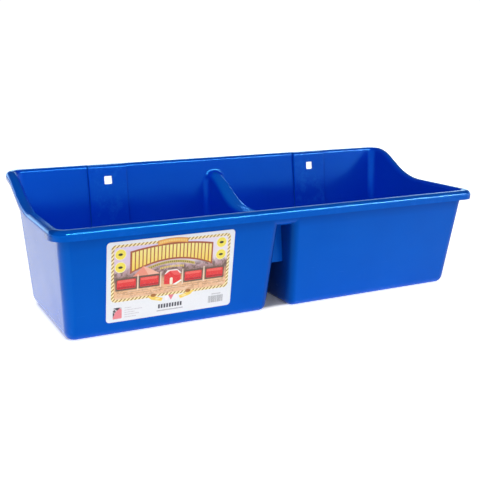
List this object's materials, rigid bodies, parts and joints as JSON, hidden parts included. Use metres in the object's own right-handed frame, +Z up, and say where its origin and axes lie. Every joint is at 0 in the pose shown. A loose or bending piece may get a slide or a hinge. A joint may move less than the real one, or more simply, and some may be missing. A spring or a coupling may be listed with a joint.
{
  "type": "feed trough",
  "caption": "Two-compartment feed trough moulded in one piece, with a rolled rim that drops towards the front, a hollow divider ridge, drafted tubs and square bolt holes in the back wall pads.",
  "frame": {"origin": "under the middle of the rim, on the surface that the trough stands on", "axes": "+X along the trough towards the right compartment as seen from the low front, +Y from the low front to the high back wall, +Z up"},
  "size_m": [0.6472, 0.2662, 0.1895],
  "materials": {
    "tub_plastic": "glossy injection-moulded blue polyethylene",
    "label_paper": "printed coated paper sticker"
  },
  "bodies": {
    "root": {"tub": "tub_plastic", "label": "label_paper"}
  },
  "joints": []
}
